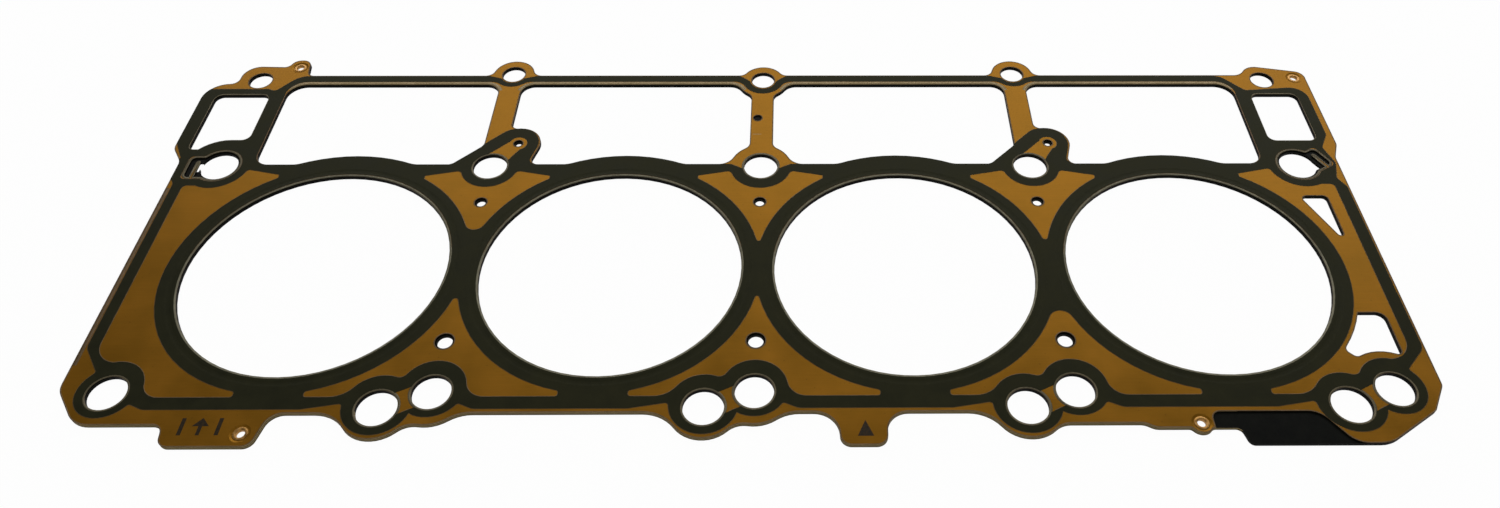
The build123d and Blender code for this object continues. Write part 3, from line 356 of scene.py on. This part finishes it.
def ribbon_tree():
    """A node tree that lays a flat ribbon of metal along its curves, on their left side."""
    tree = bpy.data.node_groups.new("flat_ribbon", "GeometryNodeTree")
    for name, kind in (("Path", "Geometry"), ("Width", "Float"), ("Height", "Float"),
                       ("Middle", "Float"), ("Finish", "Material")):
        tree.interface.new_socket(name=name, in_out="INPUT", socket_type="NodeSocket" + kind)
    tree.interface.new_socket(name="Ribbon", in_out="OUTPUT", socket_type="NodeSocketGeometry")
    given = add_node(tree, "NodeGroupInput").outputs
    level = add_node(tree, "GeometryNodeSetCurveNormal", {"Curve": given["Path"]}, mode="Z_UP")
    section = add_node(tree, "GeometryNodeCurvePrimitiveQuadrilateral",
                       {"Width": given["Width"], "Height": given["Height"]})
    # The section's x runs to the right of its path, and its y runs down.
    lift = add_node(tree, "ShaderNodeMath", {0: given["Height"], 1: -0.5}, operation="MULTIPLY")
    left = add_node(tree, "ShaderNodeMath", {0: given["Middle"], 1: -1.0}, operation="MULTIPLY")
    shift = add_node(tree, "ShaderNodeCombineXYZ", {"X": left.outputs[0], "Y": lift.outputs[0]})
    section = add_node(tree, "GeometryNodeTransform", {"Geometry": section.outputs[0],
                       "Translation": shift.outputs[0]})
    swept = add_node(tree, "GeometryNodeCurveToMesh", {"Curve": level.outputs[0],
                     "Profile Curve": section.outputs[0], "Fill Caps": True})
    plain = add_node(tree, "GeometryNodeRealizeInstances", {"Geometry": swept.outputs[0]})
    done = add_node(tree, "GeometryNodeSetMaterial", {"Geometry": plain.outputs[0],
                    "Material": given["Finish"]})
    add_node(tree, "NodeGroupOutput", {"Ribbon": done.outputs[0]})
    return tree


def bake(name, host, tree, inputs):
    """Run a node tree on its host and keep the result as a plain mesh object."""
    modifier = host.modifiers.new(tree.name, "NODES")
    modifier.node_group = tree
    for socket in tree.interface.items_tree:
        if socket.in_out == "INPUT" and socket.name in inputs:
            modifier[socket.identifier] = inputs[socket.name]
    bpy.context.scene.collection.objects.link(host)
    depsgraph = bpy.context.evaluated_depsgraph_get()
    mesh = bpy.data.meshes.new_from_object(host.evaluated_get(depsgraph), depsgraph=depsgraph)
    mesh.name = name
    piece = bpy.data.objects.new(name, mesh)
    bpy.context.scene.collection.objects.link(piece)
    bpy.data.objects.remove(host)
    return piece


def path_object(paths):
    """A curve object with one straight-sided spline for each (points, closed) path."""
    curve = bpy.data.curves.new("paths", "CURVE")
    curve.dimensions = "3D"
    for points, closed in paths:
        spline = curve.splines.new("POLY")
        spline.points.add(len(points) - 1)
        for knot, point in zip(spline.points, points):
            knot.co = (*point, 1)
        spline.use_cyclic_u = closed
    return bpy.data.objects.new("paths", curve)


def divided(loop, step):
    """The same closed loop with its long sides divided into steps."""
    points = []
    for here, there in zip(loop, loop[1:] + loop[:1]):
        count = max(1, math.ceil((there - here).length / step))
        points += [here.lerp(there, k / count) for k in range(count)]
    return points


def runs(loop, wanted):
    """The stretches of a closed loop whose points are wanted, three at least, as paths."""
    kept = [wanted(point) for point in loop]
    if all(kept):
        return [(loop, True)]
    start = kept.index(False)
    found, stretch = [], []
    for step in range(1, len(loop) + 1):
        k = (start + step) % len(loop)
        if kept[k]:
            stretch.append(loop[k])
        elif stretch:
            found.append((stretch, False))
            stretch = []
    return [path for path in found if len(path[0]) >= 3]


def kind_of(loop):
    """Which edge a loop is: a bore, a large hole, a coolant window, or another edge."""
    left, right = min(p.x for p in loop), max(p.x for p in loop)
    front, back = min(p.y for p in loop), max(p.y for p in loop)
    wide, deep = right - left, back - front
    if wide > bore_least_width and abs(wide - deep) < round_within:
        return "bore"
    if (hole_widths[0] < wide < hole_widths[1] and deep < hole_most_depth
            and abs(back + front) / 2 > hole_row_y):
        return "hole"
    if wide < window_most_width and deep > window_least_depth:
        return "window"
    return "edge"


def reach_across(points):
    """How far the points reach from left to right."""
    return max(p.x for p in points) - min(p.x for p in points)


upper_loops = skin_loops("top_layer")
face_z = max(point.z for loop in upper_loops for point in loop)
sheet_loops = [loop for loop in upper_loops if min(p.z for p in loop) > face_z - level_within]
rim_paths = {}
for loop in sheet_loops:
    rim_paths.setdefault(kind_of(loop), []).append((loop, True))
inner_loops = [loop for loop in sheet_loops if max(p.y for p in loop) < rail_top_y]
rail_paths = [path for loop in inner_loops
              for path in runs(divided(loop, strip_step), lambda p: p.y > rail_strip_y)
              if reach_across(path[0]) > rail_strip_least]
end_paths = [path for loop in sheet_loops
             for path in runs(divided(loop, strip_step),
                              lambda p: p.x < end_strip_x and abs(p.y) < end_strip_y)]

flat_ribbon = ribbon_tree()
rims = (
    ("bore_rim", rim_paths["bore"], bore_rim_width, rim_height, oiled_steel),
    ("hole_rim", rim_paths["hole"], hole_rim_width, rim_height, wiped_steel),
    ("window_rim", rim_paths["window"], window_rim_width, low_rim_height, wiped_steel),
    ("edge_rim", rim_paths["edge"], edge_rim_width, low_rim_height, thin_lacquer),
    ("rail_strip", rail_paths, rail_strip_width, rim_height, washed_steel),
    ("end_strip", end_paths, end_strip_width, rim_height, thin_lacquer),
)
for name, paths, width, height, finish in rims:
    ribbon = bake(name, path_object(paths), flat_ribbon,
                  {"Width": width, "Height": height, "Middle": width / 2, "Finish": finish})
    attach(ribbon, "root")


# Printed seal: a silicone-like elastomer pressed through a screen in closed bands and then
# cured. It dries matt, with the faint weave of the screen in it.
weave_mm = 0.55  # real screen threads lie 0.15 mm apart, drawn coarser so that they show
flow_mm = 9.0
olive_dark = srgb("#1B1C10")
olive_light = srgb("#242416")
olive_sheen = srgb("#E4DDA6")

printed_seal, tree = new_finish("screen_printed_elastomer")
place = add_node(tree, "ShaderNodeTexCoord")
flow = add_node(tree, "ShaderNodeTexNoise", {"Vector": place.outputs["Object"],
                "Scale": 1000 / flow_mm, "Detail": 4.0, "Roughness": 0.6})
weave = add_node(tree, "ShaderNodeTexVoronoi", {"Vector": place.outputs["Object"],
                 "Scale": 1000 / weave_mm, "Randomness": 0.6})
olive = add_node(tree, "ShaderNodeValToRGB", {"Fac": flow.outputs["Fac"]})
olive.color_ramp.elements[0].position = 0.33
olive.color_ramp.elements[0].color = olive_dark
olive.color_ramp.elements[1].position = 0.68
olive.color_ramp.elements[1].color = olive_light
matt = add_node(tree, "ShaderNodeMapRange", {"Value": flow.outputs["Fac"], "From Min": 0.3,
                "From Max": 0.7, "To Min": 0.56, "To Max": 0.68})
bump = add_node(tree, "ShaderNodeBump", {"Height": weave.outputs["Distance"], "Strength": 0.1,
                "Distance": 0.00004})
skin = add_node(tree, "ShaderNodeBsdfPrincipled", {
    "Base Color": olive.outputs["Color"], "Roughness": matt.outputs["Result"],
    "Normal": bump.outputs["Normal"], "IOR": 1.41, "Specular IOR Level": 0.13,
    "Specular Tint": olive_sheen})
add_node(tree, "ShaderNodeOutputMaterial", {"Surface": skin.outputs[0]})

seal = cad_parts["seal_print"]
seal.data.materials.clear()
seal.data.materials.append(printed_seal)


# Print thread: the lacquer is wiped thin along the print's border, so that a fine brown
# thread shows along it wherever the print doesn't end at a cut edge.
thread_width = 0.00045
thread_height = rim_height * 1.6  # so that it lies on top of the rims and strips
cell = 0.002  # side of the squares that the edges' points are sorted into
edge_step = 0.0002


def cell_of(point):
    """The square cell that a point lies in, seen from above."""
    return int(point.x // cell), int(point.y // cell)


def gap_to(point, places):
    """Distance in the plane from a point to the nearest of the places, within a cell."""
    column, row = cell_of(point)
    near = [place for dx in (-1, 0, 1) for dy in (-1, 0, 1)
            for place in places.get((column + dx, row + dy), ())]
    return min(((place - point.xy).length for place in near), default=cell)


edge_places = {}
for loop in sheet_loops:
    for spot in divided(loop, edge_step):
        edge_places.setdefault(cell_of(spot), []).append(spot.xy)

thread_paths = []
for loop in skin_loops("seal_print"):
    laid = [Vector((p.x, p.y, face_z)) for p in divided(loop, strip_step)]
    thread_paths += runs(laid, lambda p: gap_to(p, edge_places) > edge_rim_width + thread_width)
thread = bake("print_thread", path_object(thread_paths), flat_ribbon,
              {"Width": thread_width, "Height": thread_height, "Middle": 0.0,
               "Finish": thin_lacquer})
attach(thread, "root")


# Rivets: four short tubes of brass-plated steel, with both ends rolled over to hold the
# sheets together. The roll is domed, and the plating dulls where the tool pressed it.
tube_inner = 0.0015
tube_outer = 0.0019
lip_crest = 0.0020
lip_radius = 0.0026
lip_thickness = 0.0002
lip_fall = 0.00012  # how far the roll falls from its crest to its rim
funnel_depth = 0.00035
roll_steps = 6
rivet_sides = 48
tarnish_mm = 1.5
brass_dull = srgb("#8F6832")
brass_bright = srgb("#B98D50")

brass, tree = new_finish("brass_plated_steel")
place = add_node(tree, "ShaderNodeTexCoord")
tarnish = add_node(tree, "ShaderNodeTexNoise", {"Vector": place.outputs["Object"],
                   "Scale": 1000 / tarnish_mm, "Detail": 2.0})
plate = add_node(tree, "ShaderNodeValToRGB", {"Fac": tarnish.outputs["Fac"]})
plate.color_ramp.elements[0].position = 0.3
plate.color_ramp.elements[0].color = brass_dull
plate.color_ramp.elements[1].position = 0.7
plate.color_ramp.elements[1].color = brass_bright
worn = add_node(tree, "ShaderNodeMapRange", {"Value": tarnish.outputs["Fac"], "From Min": 0.3,
                "From Max": 0.7, "To Min": 0.36, "To Max": 0.5})
skin = add_node(tree, "ShaderNodeBsdfPrincipled", {
    "Base Color": plate.outputs["Color"], "Metallic": 0.8, "Roughness": worn.outputs["Result"]})
add_node(tree, "ShaderNodeOutputMaterial", {"Surface": skin.outputs[0]})

rivet_names = ["eyelet_front_left", "eyelet_front_right",
               "eyelet_rear_left", "eyelet_rear_right"]
low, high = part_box(rivet_names[0])
roll = []
for k in range(roll_steps + 1):
    turn = math.pi / 2 * k / roll_steps
    roll.append((lip_crest - (lip_crest - tube_inner) * math.cos(turn),
                 high.z - funnel_depth * (1 - math.sin(turn))))
for k in range(1, roll_steps + 1):
    turn = math.pi / 2 * k / roll_steps
    roll.append((lip_crest + (lip_radius - lip_crest) * math.sin(turn),
                 high.z - lip_fall * (1 - math.cos(turn))))
roll += [(lip_radius, high.z - lip_thickness), (tube_outer, high.z - lip_thickness)]
turned = [(radius, low.z + high.z - z) for radius, z in reversed(roll)]

tree = bpy.data.node_groups.new("rolled_rivets", "GeometryNodeTree")
for name, kind in (("Places", "Geometry"), ("Section", "Object"), ("Radius", "Float"),
                   ("Sides", "Int"), ("Finish", "Material")):
    tree.interface.new_socket(name=name, in_out="INPUT", socket_type="NodeSocket" + kind)
tree.interface.new_socket(name="Rivets", in_out="OUTPUT", socket_type="NodeSocketGeometry")
given = add_node(tree, "NodeGroupInput").outputs
ring = add_node(tree, "GeometryNodeCurvePrimitiveCircle", {"Resolution": given["Sides"],
                "Radius": given["Radius"]})
level = add_node(tree, "GeometryNodeSetCurveNormal", {"Curve": ring.outputs[0]}, mode="Z_UP")
profile = add_node(tree, "GeometryNodeObjectInfo", {"Object": given["Section"]})
spun = add_node(tree, "GeometryNodeCurveToMesh", {"Curve": level.outputs[0],
                "Profile Curve": profile.outputs["Geometry"]})
smooth = add_node(tree, "GeometryNodeSetShadeSmooth", {"Geometry": spun.outputs[0]})
placed = add_node(tree, "GeometryNodeInstanceOnPoints", {"Points": given["Places"],
                  "Instance": smooth.outputs[0]})
plain = add_node(tree, "GeometryNodeRealizeInstances", {"Geometry": placed.outputs[0]})
done = add_node(tree, "GeometryNodeSetMaterial", {"Geometry": plain.outputs[0],
                "Material": given["Finish"]})
add_node(tree, "NodeGroupOutput", {"Rivets": done.outputs[0]})

section = path_object([([(radius - tube_outer, -z, 0) for radius, z in roll + turned], True)])
bpy.context.scene.collection.objects.link(section)
centres = [(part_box(name)[0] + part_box(name)[1]) / 2 for name in rivet_names]
places = bpy.data.meshes.new("rivet_places")
places.from_pydata([(centre.x, centre.y, 0) for centre in centres], [], [])
rivets = bake("rolled_rivets", bpy.data.objects.new("rivet_places", places), tree,
              {"Section": section, "Radius": tube_outer, "Sides": rivet_sides, "Finish": brass})
bpy.data.objects.remove(section)
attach(rivets, "root")
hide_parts(*rivet_names)


# Fitting marks: plain signs burnt dark and dull into the lacquer with a laser. They show
# which side goes up and which end is the front. The scribed line on the middle web is a
# press mark that shows the washed steel.
mark_height = 0.00002
press_height = mark_height / 2
char_mm = 0.8
char_dark = srgb("#1C150A")
char_light = srgb("#33250F")

# Centres and outlines in mm, with each outline's corners in turn, anticlockwise from above.
arrow_place = (-189.0, -70.6)
left_bar_place = (-195.4, -70.6)
right_bar_place = (-182.6, -70.6)
wedge_place = (38.5, -72.0)
scribe_place = (-2.0, 75.7)
arrow = [(-0.65, -3.4), (0.65, -3.4), (0.65, 0.2), (2.9, 0.2),
         (0, 3.5), (-2.9, 0.2), (-0.65, 0.2)]
bar = [(-0.7, -3.4), (0.7, -3.4), (0.7, 3.4), (-0.7, 3.4)]
wedge = [(-2.8, -3.1), (2.8, -3.1), (0, 3.2)]
scribe = [(-1.8, -0.15), (1.8, -0.15), (1.8, 0.15), (-1.8, 0.15)]

burnt, tree = new_finish("laser_burnt_lacquer")
place = add_node(tree, "ShaderNodeTexCoord")
char = add_node(tree, "ShaderNodeTexNoise", {"Vector": place.outputs["Object"],
                "Scale": 1000 / char_mm, "Detail": 3.0})
soot = add_node(tree, "ShaderNodeValToRGB", {"Fac": char.outputs["Fac"]})
soot.color_ramp.elements[0].position = 0.35
soot.color_ramp.elements[0].color = char_dark
soot.color_ramp.elements[1].position = 0.7
soot.color_ramp.elements[1].color = char_light
skin = add_node(tree, "ShaderNodeBsdfPrincipled", {
    "Base Color": soot.outputs["Color"], "Roughness": 0.6, "Specular IOR Level": 0.15})
add_node(tree, "ShaderNodeOutputMaterial", {"Surface": skin.outputs[0]})


def flat_signs(name, signs, height, finish):
    """Thin raised plates on the upper face, each an outline about its centre, in mm."""
    points, faces = [], []
    for (centre_x, centre_y), outline in signs:
        lower = [len(points) + k for k in range(len(outline))]
        upper = [len(outline) + k for k in lower]
        for z in (face_z, face_z + height):
            points += [((centre_x + x) / 1000, (centre_y + y) / 1000, z) for x, y in outline]
        faces += [lower[::-1], upper]
        faces += zip(lower, lower[1:] + lower[:1], upper[1:] + upper[:1], upper)
    data = bpy.data.meshes.new(name)
    data.from_pydata(points, [], faces)
    data.materials.append(finish)
    piece = bpy.data.objects.new(name, data)
    bpy.context.scene.collection.objects.link(piece)
    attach(piece, "root")


flat_signs("fitting_marks", [(arrow_place, arrow), (left_bar_place, bar),
           (right_bar_place, bar), (wedge_place, wedge)], mark_height, burnt)
flat_signs("press_mark", [(scribe_place, scribe)], press_height, washed_steel)
